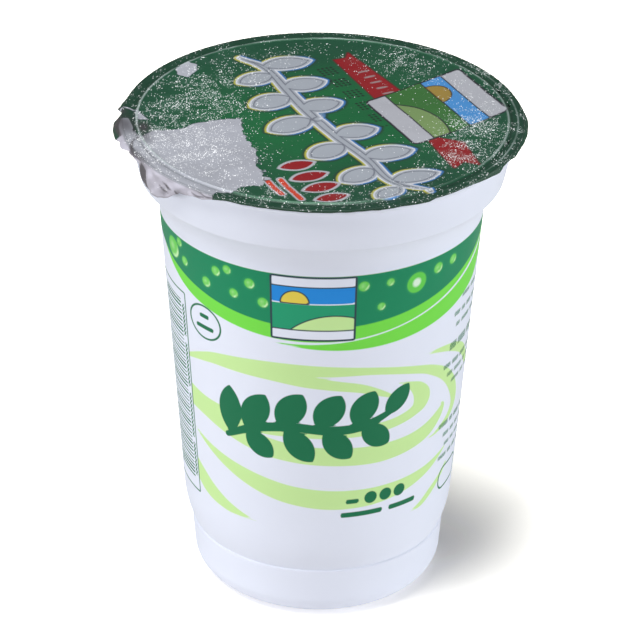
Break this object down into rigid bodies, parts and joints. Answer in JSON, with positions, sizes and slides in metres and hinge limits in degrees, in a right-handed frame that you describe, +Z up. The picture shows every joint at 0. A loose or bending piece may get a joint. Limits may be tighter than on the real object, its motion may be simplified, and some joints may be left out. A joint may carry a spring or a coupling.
{
  "type": "yogurt pot",
  "caption": "Sealed thermoformed yogurt pot with a tapered printed wall, a flared neck and a heat-sealed printed foil lid.",
  "frame": {"origin": "centre of the standing face, on the cup's axis", "axes": "+Z up along the cup's axis, -Y the printed front, +X to the right of it"},
  "size_m": [0.0767, 0.0752, 0.0957],
  "materials": {
    "cup": "satin white plastic, printed on its wall in greens",
    "foil_lid": "green lacquered aluminium foil with fine sparkle and a bare silver patch"
  },
  "bodies": {
    "root": {"cup": "cup", "foil_lid": "foil_lid"}
  },
  "joints": []
}
